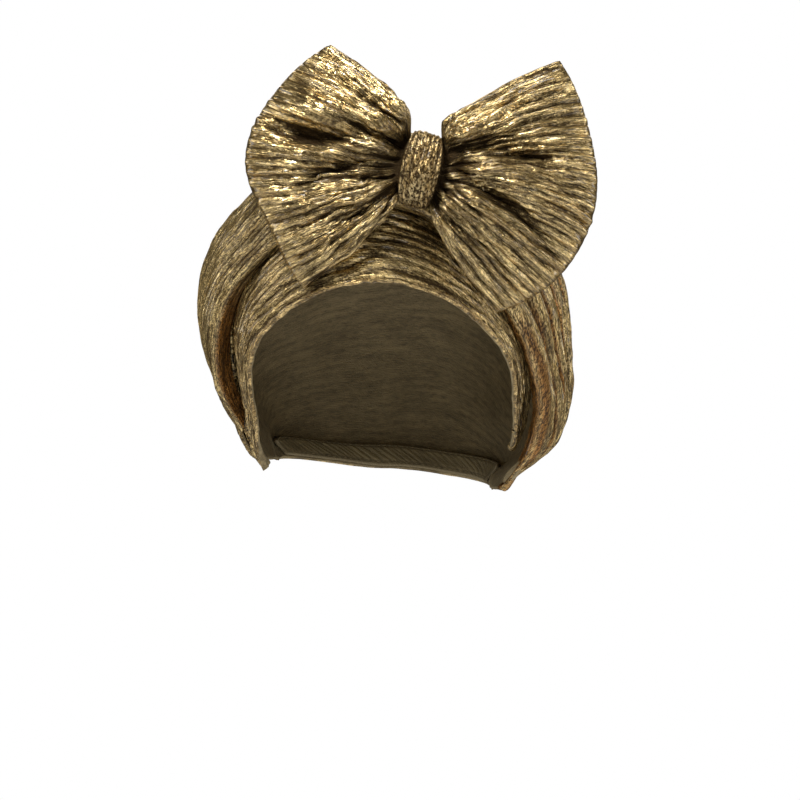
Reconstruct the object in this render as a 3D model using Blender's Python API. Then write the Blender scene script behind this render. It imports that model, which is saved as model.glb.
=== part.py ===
"""A ready-tied turban hat with a large bow, in the shape it has when worn.

Metres, +Z up, the wearer faces -Y. The origin is the inside top of the crown, where the head bears.
Left and right are those of someone who looks at the front of the hat: left is -X.

The crown and the front band are cloth walls made of arches. Each arch runs from the hem at the left over the
head to the hem at the right, and a table has one row for each arch. An arch is drawn in its own tilted plane
in polar form, as its distance from the middle of the hem at every 30 degrees.
"""

import math

import bmesh
import bpy
from mathutils import Vector

# Cloth
WALL = 0.002
CASING_WALL = 0.0024
KNOT_WALL = 0.0022
FACING_GAP = 0.0003
CASING_GAP = 0.0006

# Hem heights
CROWN_BASE_Z = -0.176
CROWN_HEM_Z = {"left": -0.168, "right": -0.184}
BAND_BASE_Z = -0.1685
BAND_HEM_Z = {"left": -0.174, "right": -0.163}

# Arches of the crown, from the tuck against the front band round the rolled fold and back to the nape.
# at: distance back along the temple. base_y: the hem's middle. crest: the arch's highest point.
# hem, low, high: polar distances at 0, 30 and 60 degrees above the hem, on each side.
# start: the angle at which the arch begins on the left, where the front ones go behind the band.
ARCH_COLUMNS = (
    "at", "base_y", "crest_y", "crest_z", "hem_l", "low_l", "high_l", "high_r", "low_r", "hem_r", "start"
)
CROWN_ARCHES = (
    # at     base_y  crest_y  crest_z  hem_l   low_l   high_l  high_r  low_r   hem_r  start
    (0.000, 0.0120, -0.0830, -0.0290, 0.0705, 0.0965, 0.1415, 0.1255, 0.0910, 0.0600, 22),  # tuck
    (0.010, 0.0030, -0.0885, -0.0370, 0.0700, 0.1020, 0.1435, 0.1240, 0.0930, 0.0612, 20),  # rolled fold
    (0.020, 0.0080, -0.0870, -0.0220, 0.0710, 0.1070, 0.1540, 0.1390, 0.1050, 0.0640, 18),  # shoulder
    (0.036, 0.0150, -0.0620, -0.0010, 0.0700, 0.1100, 0.1610, 0.1540, 0.1130, 0.0640, 10),  # front
    (0.056, 0.0190, 0.0100, 0.0010, 0.0680, 0.1120, 0.1630, 0.1620, 0.1170, 0.0630, 3),  # widest
    (0.076, 0.0230, 0.0650, -0.0140, 0.0660, 0.1110, 0.1560, 0.1570, 0.1150, 0.0620, 0),  # back of the top
    (0.096, 0.0280, 0.0970, -0.0600, 0.0640, 0.1030, 0.1310, 0.1330, 0.1060, 0.0600, 0),  # back
    (0.114, 0.0320, 0.1040, -0.1080, 0.0610, 0.0890, 0.1030, 0.1040, 0.0910, 0.0590, 0),  # low back
    (0.126, 0.0370, 0.0930, -0.1480, 0.0600, 0.0740, 0.0720, 0.0730, 0.0740, 0.0580, 0),  # neck
    (0.135, 0.0400, 0.0780, -0.1740, 0.0585, 0.0570, 0.0450, 0.0450, 0.0570, 0.0570, 0),  # nape hem
)
BAND_ARCHES = (
    (0.000, 0.0060, -0.0930, -0.0773, 0.0660, 0.0785, 0.1196, 0.1085, 0.0775, 0.0660, 0),  # face edge
    (0.014, 0.0090, -0.0900, -0.0550, 0.0660, 0.0865, 0.1305, 0.1130, 0.0825, 0.0660, 0),  # brow
    (0.030, 0.0120, -0.0800, -0.0330, 0.0660, 0.0920, 0.1360, 0.1190, 0.0860, 0.0660, 0),  # crease
    (0.040, 0.0160, -0.0690, -0.0200, 0.0660, 0.0945, 0.1390, 0.1260, 0.0890, 0.0660, 0),  # tucked edge
)
ARCH_STEPS = 30

# How far the crown behind its fold stands out of the arches, at each angle on either side
TRIM_COLUMNS = ("degrees", "left", "right")
CROWN_TRIM = (
    (0, 0.0000, -0.0020),
    (10, -0.0030, -0.0070),
    (20, -0.0070, 0.0010),
    (30, -0.0052, -0.0025),
    (42, 0.0000, -0.0065),
    (53, -0.0015, -0.0035),
    (63, -0.0045, -0.0020),
    (75, -0.0015, 0.0000),
    (90, 0.0000, 0.0000),
)

# Ribs of the crinkled cloth, which follow the arches. A row step is a third of a rib.
CROWN_RIBS = 13
CROWN_RIB_HEIGHT = 0.0013
RIGHT_RIB_HEIGHT = 0.0018
RIGHT_RIB_REACH = 0.045
TUCK_STEPS = 3
BAND_RIB_PITCH = 0.0075
BAND_RIB_HEIGHT = 0.0010
BAND_ROW_STEP = 0.0025

# Nape casing, between two angles of the crown's hem
CASING_HEIGHT = 0.014
CASING_ANGLES = (14, 166)
CASING_STEPS = 24

# Bow
BOW_CENTRE = Vector((0.0175, -0.1003, -0.0210))
BOW_LEAN = math.radians(12)
KNOT_HALF_HEIGHT = 0.0185
KNOT_HALF_DEPTH = 0.0130
KNOT_HALF_WIDTH = 0.0096
KNOT_END_NARROWING = 0.0026
KNOT_STEPS = 28
WAIST_CLEARANCE = 0.0008
WING_HALF_SPREAD = math.radians(50)
WING_FRONT_PUFF = 0.0165
WING_BACK_PUFF = 0.0080
WING_SEAM_HALF = 0.0013
WING_STATIONS = 16
WING_FACE_STEPS = 26

# The outer end of each wing from its bottom corner to its top corner: share of the half spread, distance from
# the bow's centre, and how far the end is swept back from the bow's plane.
WING_END_COLUMNS = ("share", "reach", "sweep")
# Pleats: share of the spread at the knot and at the outer end, depth, half width as a share, where the pleat
# starts and where it has faded out, both from 0 at the knot to 1 at the outer end.
PLEAT_COLUMNS = ("at_knot", "at_end", "depth", "half_width", "start", "fade")
WINGS = {
    "left": {
        "side": -1,
        "tilt": math.radians(5),
        "edge_pull": {"top": (0.007, 0.041), "bottom": (0.020, -0.027)},
        "end": (
            (-1.0, 0.0830, 0.0110),
            (-0.5, 0.0810, 0.0125),
            (0.0, 0.0885, 0.0130),
            (0.5, 0.0845, 0.0130),
            (1.0, 0.0780, 0.0140),
        ),
        "pleats": (
            (-0.75, -0.66, 0.0035, 0.10, 0.00, 0.95),
            (-0.40, -0.42, 0.0050, 0.11, 0.00, 0.85),
            (0.28, -0.26, 0.0110, 0.14, 0.00, 0.80),
            (0.52, 0.20, 0.0095, 0.15, 0.28, 1.05),
            (0.74, 0.70, 0.0035, 0.10, 0.00, 0.60),
        ),
    },
    "right": {
        "side": 1,
        "tilt": math.radians(-12),
        "edge_pull": {"top": (0.016, 0.038), "bottom": (0.002, -0.036)},
        "end": (
            (-1.0, 0.0805, 0.0260),
            (-0.5, 0.0860, 0.0210),
            (0.0, 0.0880, 0.0150),
            (0.5, 0.0860, 0.0120),
            (1.0, 0.0875, 0.0120),
        ),
        "pleats": (
            (-0.55, -0.80, 0.0055, 0.11, 0.00, 0.85),
            (0.12, -0.58, 0.0085, 0.13, 0.00, 1.10),
            (0.55, 0.12, 0.0110, 0.14, 0.04, 0.90),
            (0.78, 0.70, 0.0030, 0.10, 0.00, 0.55),
        ),
    },
}

CLOTHS = {
    # base colour, roughness, metallic
    "gold_crinkle_cloth": ((0.36, 0.27, 0.10), 0.42, 0.85),
    "gold_band_cloth": ((0.33, 0.25, 0.10), 0.45, 0.85),
    "gold_knot_cloth": ((0.40, 0.32, 0.16), 0.55, 0.75),
    "plain_casing_cloth": ((0.22, 0.17, 0.08), 0.60, 0.40),
}


def clear_scene():
    for old in list(bpy.data.objects):
        bpy.data.objects.remove(old, do_unlink=True)


def cloth(name):
    """The cloth's material, made once."""
    if name in bpy.data.materials:
        return bpy.data.materials[name]
    colour, roughness, metallic = CLOTHS[name]
    material = bpy.data.materials.new(name)
    material.use_nodes = True
    shader = material.node_tree.nodes["Principled BSDF"]
    shader.inputs["Base Color"].default_value = (*colour, 1.0)
    shader.inputs["Roughness"].default_value = roughness
    shader.inputs["Metallic"].default_value = metallic
    return material


def smooth_curve(knots, values, t):
    """A smooth curve through the values at the knots, which may be unevenly spaced."""
    t = min(max(t, knots[0]), knots[-1])
    i = max(j for j in range(len(knots) - 1) if knots[j] <= t)
    slopes = [(values[j + 1] - values[j]) / (knots[j + 1] - knots[j]) for j in range(len(knots) - 1)]
    start = slopes[i] if i == 0 else (slopes[i - 1] + slopes[i]) / 2
    end = slopes[i] if i + 1 == len(slopes) else (slopes[i] + slopes[i + 1]) / 2
    span = knots[i + 1] - knots[i]
    s = (t - knots[i]) / span
    return (
        (2 * s**3 - 3 * s**2 + 1) * values[i]
        + (s**3 - 2 * s**2 + s) * span * start
        + (3 * s**2 - 2 * s**3) * values[i + 1]
        + (s**3 - s**2) * span * end
    )


def smooth_step(t):
    t = min(max(t, 0.0), 1.0)
    return t * t * (3 - 2 * t)


def arch_at(table, at):
    """The arch between the table's rows, as a dictionary of its columns."""
    knots = [row[0] for row in table]
    return {
        name: smooth_curve(knots, [row[i] for row in table], at)
        for i, name in enumerate(ARCH_COLUMNS)
    }


def arch_point(arch, base_z, hem_z, degrees, lift=0.0):
    """A point of an arch: 0 degrees is the left hem, 90 the crest and 180 the right hem."""
    rise = Vector((0, arch["crest_y"] - arch["base_y"], arch["crest_z"] - base_z))
    distances = [arch[k] for k in ("hem_l", "low_l", "high_l")] + [rise.length]
    distances += [arch[k] for k in ("high_r", "low_r", "hem_r")]
    reach = smooth_curve([30 * i for i in range(7)], distances, degrees) + lift
    across = math.cos(math.radians(degrees))
    drop = hem_z["left" if across > 0 else "right"] - base_z
    point = Vector((0, arch["base_y"], base_z)) + rise.normalized() * reach * math.sin(math.radians(degrees))
    return point + Vector((-reach * across, 0, drop * across**2))


def ridge(distance, pitch):
    """Rounded ribs with narrow valleys between them, from 0 in a valley to 1 on a rib."""
    return abs(math.sin(math.pi * distance / pitch)) ** 0.8


def crown_trim(at, degrees):
    """How far the crown's outline stands out of its arches, at an angle from the left hem."""
    left = degrees < 90
    above = degrees if left else 180 - degrees
    trim = smooth_curve([row[0] for row in CROWN_TRIM], [row[1 if left else 2] for row in CROWN_TRIM], above)
    fold, shoulder = CROWN_ARCHES[1][0], CROWN_ARCHES[2][0]
    low_back, nape = CROWN_ARCHES[7][0], CROWN_ARCHES[-1][0]
    return trim * smooth_step((at - fold) / (shoulder - fold)) * smooth_step((nape - at) / (nape - low_back))


def crown_lift(at, degrees):
    """How far the crown's ribs and outline stand out of its smooth arches."""
    fold, nape = CROWN_ARCHES[1][0], CROWN_ARCHES[-1][0]
    if at <= fold:
        return 0.0
    pitch = (nape - fold) / CROWN_RIBS
    fade = max(0.0, math.sin(math.radians(degrees))) ** 0.5 * smooth_step((at - fold) / pitch)
    fade *= smooth_step((nape - at) / pitch)
    right = smooth_step((degrees - 95) / 35) * smooth_step((fold + RIGHT_RIB_REACH - at) / RIGHT_RIB_REACH)
    height = CROWN_RIB_HEIGHT + RIGHT_RIB_HEIGHT * right
    return height * fade * ridge(at - fold, pitch) + crown_trim(at, degrees)


def band_lift(at, degrees):
    fade = max(0.0, math.sin(math.radians(degrees))) ** 0.5 * smooth_step(at / BAND_RIB_PITCH)
    fade *= smooth_step((BAND_ARCHES[2][0] - at) / BAND_RIB_PITCH)
    return BAND_RIB_HEIGHT * fade * ridge(at, BAND_RIB_PITCH)


def new_object(name, shape, cloth_name):
    mesh = bpy.data.meshes.new(name)
    shape.to_mesh(mesh)
    shape.free()
    obj = bpy.data.objects.new(name, mesh)
    bpy.context.scene.collection.objects.link(obj)
    mesh.materials.append(cloth(cloth_name))
    mesh.shade_smooth()
    return obj


def cloth_wall(name, rows, thickness, cloth_name, loop=False):
    """A wall of even thickness round a grid of points. Each row is one list of points, and loop joins its ends."""
    shape = bmesh.new()
    grid = [[shape.verts.new(point) for point in row] for row in rows]
    for here, there in zip(grid, grid[1:]):
        for i in range(len(here) if loop else len(here) - 1):
            j = (i + 1) % len(here)
            shape.faces.new((here[i], here[j], there[j], there[i]))
    obj = new_object(name, shape, cloth_name)
    wall = obj.modifiers.new("wall", "SOLIDIFY")
    wall.thickness = thickness
    wall.offset = 0
    wall.use_even_offset = True
    return obj


def steps(start, end, step):
    """Evenly spaced values from start to end, about a step apart."""
    count = max(1, round((end - start) / step))
    return [start + (end - start) * i / count for i in range(count + 1)]


def make_arched_wall(name, table, base_z, hem_z, places, lift, cloth_name):
    rows = []
    for at in places:
        arch = arch_at(table, at)
        start = arch["start"]
        angles = [start + (180 - start) * i / ARCH_STEPS for i in range(ARCH_STEPS + 1)]
        rows.append([arch_point(arch, base_z, hem_z, d, lift(at, d)) for d in angles])
    return cloth_wall(name, rows, WALL, cloth_name)


def crown_point(at, degrees):
    return arch_point(arch_at(CROWN_ARCHES, at), CROWN_BASE_Z, CROWN_HEM_Z, degrees, crown_lift(at, degrees))


def make_crown():
    tuck, fold, nape = (CROWN_ARCHES[i][0] for i in (0, 1, -1))
    places = steps(tuck, fold, (fold - tuck) / TUCK_STEPS)[:-1]
    places += steps(fold, nape, (nape - fold) / CROWN_RIBS / 3)
    make_arched_wall("crown", CROWN_ARCHES, CROWN_BASE_Z, CROWN_HEM_Z, places, crown_lift, "gold_crinkle_cloth")


def make_front_band():
    places = steps(BAND_ARCHES[0][0], BAND_ARCHES[-1][0], BAND_ROW_STEP)
    make_arched_wall("front_band", BAND_ARCHES, BAND_BASE_Z, BAND_HEM_Z, places, band_lift, "gold_band_cloth")


def inside_crown(at, degrees, inset):
    """A point a given distance inside the crown's middle surface."""
    nudge = 0.0005
    back = crown_point(at, degrees) - crown_point(at - nudge, degrees)
    round_head = crown_point(at, degrees + 1) - crown_point(at, degrees - 1)
    inward = back.cross(round_head).normalized()
    middle = Vector((0, BAND_ARCHES[-1][1], CROWN_BASE_Z / 2))
    if inward.dot(middle - crown_point(at, degrees)) < 0:
        inward = -inward
    return crown_point(at, degrees) + inward * inset


def make_nape_casing():
    """The strip inside the crown's hem at the nape, which holds the elastic."""
    inset = WALL / 2 + CASING_GAP + CASING_WALL / 2
    nape = CROWN_ARCHES[-1][0]
    rows = [[], [], []]
    for i in range(CASING_STEPS + 1):
        degrees = CASING_ANGLES[0] + (CASING_ANGLES[1] - CASING_ANGLES[0]) * i / CASING_STEPS
        at, height, last = nape, 0.0, crown_point(nape, degrees)
        for share, row in enumerate(rows):
            while height < CASING_HEIGHT * share / 2:
                at -= CASING_HEIGHT / 400
                here = crown_point(at, degrees)
                height += (here - last).length
                last = here
            row.append(inside_crown(at, degrees, inset))
    cloth_wall("nape_casing", rows, CASING_WALL, "plain_casing_cloth")


def bow_point(out, up, depth):
    """A point of the bow, out along +X and up +Z from its centre, depth towards the head."""
    return BOW_CENTRE + Vector((out, depth, up))


def knot_point(turn, across):
    """A point of the knot's wall: turn goes round it, and across runs over its width from -1 to 1."""
    narrow = KNOT_HALF_WIDTH - KNOT_END_NARROWING * abs(math.cos(turn)) ** 3
    crown = 1 - 0.06 * across**2
    up = (KNOT_HALF_HEIGHT - KNOT_WALL / 2) * math.cos(turn) * crown
    depth = (KNOT_HALF_DEPTH - KNOT_WALL / 2) * math.sin(turn) * crown
    out = narrow * across
    return bow_point(
        out * math.cos(BOW_LEAN) + up * math.sin(BOW_LEAN),
        up * math.cos(BOW_LEAN) - out * math.sin(BOW_LEAN),
        depth,
    )


def make_knot():
    rows = []
    for across in (-1, -0.5, 0, 0.5, 1):
        rows.append([knot_point(2 * math.pi * i / KNOT_STEPS, across) for i in range(KNOT_STEPS)])
    cloth_wall("bow_knot", rows, KNOT_WALL, "gold_knot_cloth", loop=True)


def wing_end(wing, share):
    """The wing's outer end at a share of its spread: its place beside the bow's centre and its sweep."""
    knots = [row[0] for row in wing["end"]]
    reach = smooth_curve(knots, [row[1] for row in wing["end"]], share)
    sweep = smooth_curve(knots, [row[2] for row in wing["end"]], share)
    angle = wing["tilt"] + share * WING_HALF_SPREAD
    return reach * math.cos(angle), reach * math.sin(angle), sweep


def waist_half(share):
    """Half the depth of the bow's waist, which is oval."""
    inside = KNOT_HALF_DEPTH - KNOT_WALL - WAIST_CLEARANCE
    return inside * 0.94 * math.sqrt(max(0.0, 1 - share**2))


def wing_middle(wing, along, share):
    """The wing's middle surface: along is 0 at the bow's centre and 1 at the outer end."""
    side = wing["side"]
    waist_up = share * (KNOT_HALF_HEIGHT - KNOT_WALL - WAIST_CLEARANCE) * 0.94
    exit_out = KNOT_HALF_WIDTH - KNOT_END_NARROWING * abs(share) ** 3 + WAIST_CLEARANCE
    exit_share = 0.12
    lean = side * math.sin(BOW_LEAN)
    if along < exit_share:
        out = FACING_GAP / 2 + (exit_out - FACING_GAP / 2) * along / exit_share
        return bow_point(
            side * out * math.cos(BOW_LEAN) + waist_up * math.sin(BOW_LEAN),
            waist_up * math.cos(BOW_LEAN) - out * lean,
            0,
        )
    t = (along - exit_share) / (1 - exit_share)
    start = Vector(
        (
            exit_out * math.cos(BOW_LEAN) + side * waist_up * math.sin(BOW_LEAN),
            waist_up * math.cos(BOW_LEAN) - exit_out * lean,
        )
    )
    end_out, end_up, sweep = wing_end(wing, share)
    top, bottom = wing["edge_pull"]["top"], wing["edge_pull"]["bottom"]
    pull_up = top[1] * share if share > 0 else -bottom[1] * share
    pull_out = 0.5 * end_out * (1 - share**2) + (top[0] if share > 0 else bottom[0]) * share**2
    pull_out = max(pull_out, exit_out)
    out = (1 - t) ** 2 * start.x + 2 * t * (1 - t) * pull_out + t * t * end_out
    up = (1 - t) ** 2 * start.y + 2 * t * (1 - t) * pull_up + t * t * end_up
    return bow_point(side * out, up, sweep * t * t)


def wing_half(wing, along, share, front):
    """Half the thickness of the wing, on its front or its back."""
    exit_share = 0.12
    if along <= exit_share:
        return waist_half(share)
    t = (along - exit_share) / (1 - exit_share)
    puff = WING_FRONT_PUFF if front else WING_BACK_PUFF
    rounding = max(0.0, 1 - abs(share) ** 2.4) ** 0.5
    swell = puff * math.sqrt(max(0.0, 1 - t**3)) * rounding
    half = WING_SEAM_HALF * t + (waist_half(share) * (1 - smooth_step(t * 3)) + swell * smooth_step(t * 3))
    for at_knot, at_end, depth, half_width, start, fade in wing["pleats"]:
        place = at_knot + (at_end - at_knot) * t
        ramp = smooth_step((t - start) / 0.08 + 0.4) * smooth_step((fade - t) / 0.35)
        scale = 1.0 if front else 0.35
        half -= scale * depth * ramp * math.exp(-(((share - place) / half_width) ** 2))
    return max(half, WING_SEAM_HALF * rounding)


def make_wing(name, wing):
    """A closed pillow lofted through the loops round it, from the bow's centre to its outer end."""
    shape = bmesh.new()
    loops = []
    for i in range(WING_STATIONS + 1):
        along = i / WING_STATIONS
        loop = []
        for j in range(2 * WING_FACE_STEPS):
            turn = math.pi * j / WING_FACE_STEPS
            share, front = math.cos(turn), j <= WING_FACE_STEPS
            half = wing_half(wing, along, share, front)
            middle = wing_middle(wing, along, share)
            loop.append(shape.verts.new(middle + Vector((0, -half if front else half, 0))))
        loops.append(loop)
    for here, there in zip(loops, loops[1:]):
        for j in range(len(here)):
            k = (j + 1) % len(here)
            shape.faces.new((here[j], here[k], there[k], there[j]))
    for loop in (loops[0], loops[-1]):
        for j in range(1, WING_FACE_STEPS):
            a, b = loop[j], loop[-j]
            c = loop[-j - 1] if j + 1 < WING_FACE_STEPS else None
            d = loop[j + 1]
            shape.faces.new([v for v in (a, b, c, d) if v is not None])
        shape.faces.new((loop[0], loop[1], loop[-1]))
    bmesh.ops.recalc_face_normals(shape, faces=shape.faces)
    new_object(name, shape, "gold_crinkle_cloth")


def main():
    clear_scene()
    make_crown()
    make_front_band()
    make_nape_casing()
    make_knot()
    for side, wing in WINGS.items():
        make_wing("bow_wing_" + side, wing)


main()
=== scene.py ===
"""Cloth, stitches and studio for the bow turban hat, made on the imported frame.

Metres, +Z up, the wearer faces -Y. Left and right are those of someone who looks at the front of the hat.
The arches, the knot and the wings start from the named values of the part's source. The crown's outline and
tuck, the back of the front band and the wings' shoulders and folds differ from it by a few millimetres, and
the crinkle of the cloth is on top of all of them.
"""

import math

import bmesh
import bpy
import numpy as np
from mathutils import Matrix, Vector


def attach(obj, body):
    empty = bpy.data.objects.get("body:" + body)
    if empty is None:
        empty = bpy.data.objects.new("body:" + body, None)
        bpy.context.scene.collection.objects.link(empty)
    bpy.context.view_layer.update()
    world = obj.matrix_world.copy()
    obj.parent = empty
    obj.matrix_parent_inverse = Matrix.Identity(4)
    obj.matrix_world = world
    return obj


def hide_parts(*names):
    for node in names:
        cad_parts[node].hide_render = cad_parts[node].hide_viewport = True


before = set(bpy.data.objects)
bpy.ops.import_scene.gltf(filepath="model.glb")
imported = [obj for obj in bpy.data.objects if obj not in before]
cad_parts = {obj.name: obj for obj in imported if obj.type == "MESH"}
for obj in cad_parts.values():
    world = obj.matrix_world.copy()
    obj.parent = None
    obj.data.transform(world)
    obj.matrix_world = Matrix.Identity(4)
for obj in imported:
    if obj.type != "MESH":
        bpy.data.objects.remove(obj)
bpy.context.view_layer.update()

# Walls, the radius of their edges, and how much of the thickness is left at an edge
WALL = 0.002
CASING_WALL = 0.0024
KNOT_WALL = 0.0022
FACING_GAP = 0.0003
CASING_GAP = 0.0006
CROWN_EDGE_RADIUS = 0.0012
BAND_EDGE_RADIUS = 0.0014
CASING_EDGE_RADIUS = 0.0011
KNOT_EDGE_RADIUS = 0.0013
THIN_EDGE = 0.12
THICK_EDGE = 0.15

# Arches of the crown and of the front band
CROWN_BASE_Z = -0.176
CROWN_HEM_Z = {"left": -0.168, "right": -0.184}
BAND_BASE_Z = -0.1685
BAND_HEM_Z = {"left": -0.174, "right": -0.163}
ARCH_COLUMNS = "at base_y crest_y crest_z hem_l low_l high_l high_r low_r hem_r start".split()
CROWN_ARCHES = (
    (0.000, 0.0120, -0.0830, -0.0290, 0.0705, 0.0940, 0.1392, 0.1255, 0.0910, 0.0600, 26),  # tuck
    (0.010, 0.0030, -0.0885, -0.0370, 0.0700, 0.1020, 0.1435, 0.1240, 0.0930, 0.0612, 15),  # rolled fold
    (0.020, 0.0080, -0.0870, -0.0220, 0.0710, 0.1070, 0.1540, 0.1390, 0.1050, 0.0640, 11),  # shoulder
    (0.036, 0.0150, -0.0620, -0.0010, 0.0700, 0.1100, 0.1610, 0.1540, 0.1130, 0.0640, 2),  # front
    (0.056, 0.0190, 0.0100, 0.0010, 0.0680, 0.1120, 0.1630, 0.1620, 0.1170, 0.0630, 0),  # widest
    (0.076, 0.0230, 0.0650, -0.0140, 0.0660, 0.1110, 0.1560, 0.1570, 0.1150, 0.0620, 0),  # back of the top
    (0.096, 0.0280, 0.0970, -0.0600, 0.0640, 0.1030, 0.1310, 0.1330, 0.1060, 0.0600, 0),  # back
    (0.114, 0.0320, 0.1040, -0.1080, 0.0610, 0.0890, 0.1030, 0.1040, 0.0910, 0.0590, 0),  # low back
    (0.126, 0.0370, 0.0930, -0.1480, 0.0600, 0.0740, 0.0720, 0.0730, 0.0740, 0.0580, 0),  # neck
    (0.135, 0.0400, 0.0780, -0.1740, 0.0585, 0.0570, 0.0450, 0.0450, 0.0570, 0.0570, 0),  # nape hem
)
BAND_ARCHES = (
    (0.000, 0.0060, -0.0930, -0.0773, 0.0660, 0.0785, 0.1196, 0.1085, 0.0775, 0.0660, 0),  # face edge
    (0.014, 0.0090, -0.0900, -0.0550, 0.0660, 0.0865, 0.1305, 0.1130, 0.0825, 0.0660, 0),  # brow
    (0.030, 0.0120, -0.0800, -0.0330, 0.0660, 0.0920, 0.1360, 0.1190, 0.0860, 0.0660, 0),  # crease
    (0.040, 0.0160, -0.0690, -0.0200, 0.0660, 0.0945, 0.1390, 0.1260, 0.0890, 0.0660, 0),  # tucked edge
)
CROWN_TRIM = (
    # degrees, left, right
    (0, 0.0000, -0.0020),
    (10, -0.0055, -0.0105),
    (20, -0.0088, -0.0040),
    (30, -0.0052, -0.0064),
    (42, 0.0000, -0.0096),
    (53, -0.0015, -0.0060),
    (63, -0.0045, -0.0034),
    (75, -0.0015, 0.0000),
    (90, 0.0000, 0.0000),
)
CROWN_TUCK_IN = 0.0030
FOLD, SHOULDER, LOW_BACK, NAPE = (CROWN_ARCHES[i][0] for i in (1, 2, 7, -1))
CROWN = (CROWN_ARCHES, CROWN_BASE_Z, CROWN_HEM_Z)
BAND = (BAND_ARCHES, BAND_BASE_Z, BAND_HEM_Z)
HEAD_CENTRE = (0, 0.02, -0.10)
BAND_CENTRE = (0, 0.05, -0.12)

# How finely the cloth is made. The lining side takes every other point. The crown's and the band's numbers
# count steps, and the casing's and the knot's count points.
CROWN_ROWS = 340
CROWN_COLUMNS = 190
CROWN_ARCH_LENGTH = 0.42
BAND_ROWS = 76
BAND_COLUMNS = 280
BAND_ARCH_LENGTH = 0.40
CASING_ROWS = 25
CASING_COLUMNS = 241
CASING_FINE_ROWS = 400
KNOT_ROWS = 37
KNOT_COLUMNS = 240
FINE_ROWS = 600
EDGE_STEPS = (0.0, 0.0002, 0.0005, 0.0009, 0.0014, 0.0019, 0.0024, 0.0030)

# Crinkle
CROWN_RIB_PITCH = 0.0050
CROWN_RIB_HEIGHT = 0.0024
RIGHT_RIB_PITCH = 0.0078
RIGHT_RIB_HEIGHT = 0.0020
RIGHT_RIB_REACH = 0.12
RIGHT_PLEAT_PITCH = 0.0180
RIGHT_PLEAT_HEIGHT = 0.0046
BAND_RIB_PITCH = 0.0050
BAND_RIB_HEIGHT = 0.0027
BAND_TIGHT = 0.0028
BAND_HEM_PUCKER = 0.0005
BAND_HEM_ROLL = 0.0009
BAND_HEM_ROLL_HALF = 0.0014
BAND_HEM_ROLL_END = 0.0026
CASING_GATHER_PITCH = 0.0042
CASING_GATHER_HEIGHT = 0.0007
WING_RIB_PITCH = 0.0055
WING_RIB_HEIGHT = 0.0041
WING_WAVE_PITCH = 0.0115
WING_WAVE_HEIGHT = 0.0028
WING_CUT_LENGTH = 0.082
WING_HALF_CUT = 0.078
KNOT_RIB_PITCH = 0.0032
KNOT_RIB_HEIGHT = 0.0015
KNOT_WAVE_HEIGHT = 0.0004

# Colours
OLIVE_FOIL = (0.31, 0.205, 0.074, 1.0)
# Painted reflection of the wearer's skin, mixed into the colour on the foil and on the bare knit
SKIN_REFLECTION_FOIL = (0.33, 0.140, 0.030, 1.0)
SKIN_REFLECTION_KNIT = (0.050, 0.022, 0.006, 1.0)
DARK_LOOP = (0.026, 0.016, 0.005, 1.0)
# Bare knit and painted shade in the crinkle's valleys
BARE_KNIT_AND_VALLEY_SHADE = (0.027, 0.015, 0.005, 1.0)
WARM_SHINE = (1.0, 0.80, 0.52, 1.0)
THREAD_DARK = (0.10, 0.075, 0.03, 1.0)
THREAD_LIGHT = (0.30, 0.23, 0.10, 1.0)
FOILS = {
    # name, foil, wear and painted valley shade, speckle, loop, streak, roughness, gloss
    "wing": ("gold_crinkle_foil", (0.94, 0.705, 0.32, 1.0), 0.05, 0.50, 0.00064, 0.019, 0.25, 0.55),
    "crown": ("gold_crown_foil", (0.76, 0.575, 0.26, 1.0), 0.14, 0.80, 0.00076, 0.019, 0.32, 0.35),
    "band": ("gold_band_foil", (0.88, 0.655, 0.295, 1.0), 0.08, 0.65, 0.00070, 0.019, 0.28, 0.50),
    "knot": ("gold_knot_foil", (0.69, 0.545, 0.285, 1.0), 0.28, 0.94, 0.00095, 0.004, 0.40, 0.10),
}

KNITS = (
    # name, colour, dark
    ("knit_back", (0.34, 0.26, 0.13, 1.0), (0.12, 0.088, 0.042, 1.0)),
    ("casing_knit", (0.38, 0.30, 0.15, 1.0), (0.14, 0.105, 0.05, 1.0)),
)

# Stitches
STITCH_LENGTH = 0.0022
THREAD_RADIUS = 0.00024
CASING_STITCH_SPACING = 0.0031
HEM_STITCH_SPACING = 0.0032
HEM_STITCH_INSET = 0.0062

# Studio
LENS_LENGTH = 138.5
SENSOR_WIDTH = 36.0
CAMERA_PLACE = (0.0073, -1.64, -0.136)
LIGHTS_AIM = (0.0, -0.02, -0.08)
LIGHTS = (
    # name, place, size, power
    ("key", (-0.50, -1.05, 1.10), (0.34, 0.34), 40),
    ("fill", (1.1, -1.1, 0.25), (0.5, 0.7), 0.8),
    ("low_front", (0.25, -1.4, -0.40), (0.35, 0.22), 2),
    ("right_front", (1.25, -0.50, 0.0), (0.4, 1.0), 4),
    ("top", (0.15, -0.35, 1.2), (0.6, 0.4), 12),
    ("left_front", (-1.25, -0.55, 0.05), (0.4, 1.0), 5),
    ("left_strip", (-1.3, 0.35, 0.1), (0.3, 1.3), 6),
    ("right_strip", (1.3, 0.35, 0.1), (0.3, 1.3), 6),
    ("back", (0.1, 1.5, 0.6), (1.0, 0.8), 8),
)
WORLD_STRENGTH = 0.045
FLOOR_RADIUS = 2.5
FLOOR_SIDES = 64
FLOOR_Z = -0.95

# Nape casing
CASING_HEIGHT = 0.014
CASING_REACH = 0.03
CASING_ANGLES = (14, 166)

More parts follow.
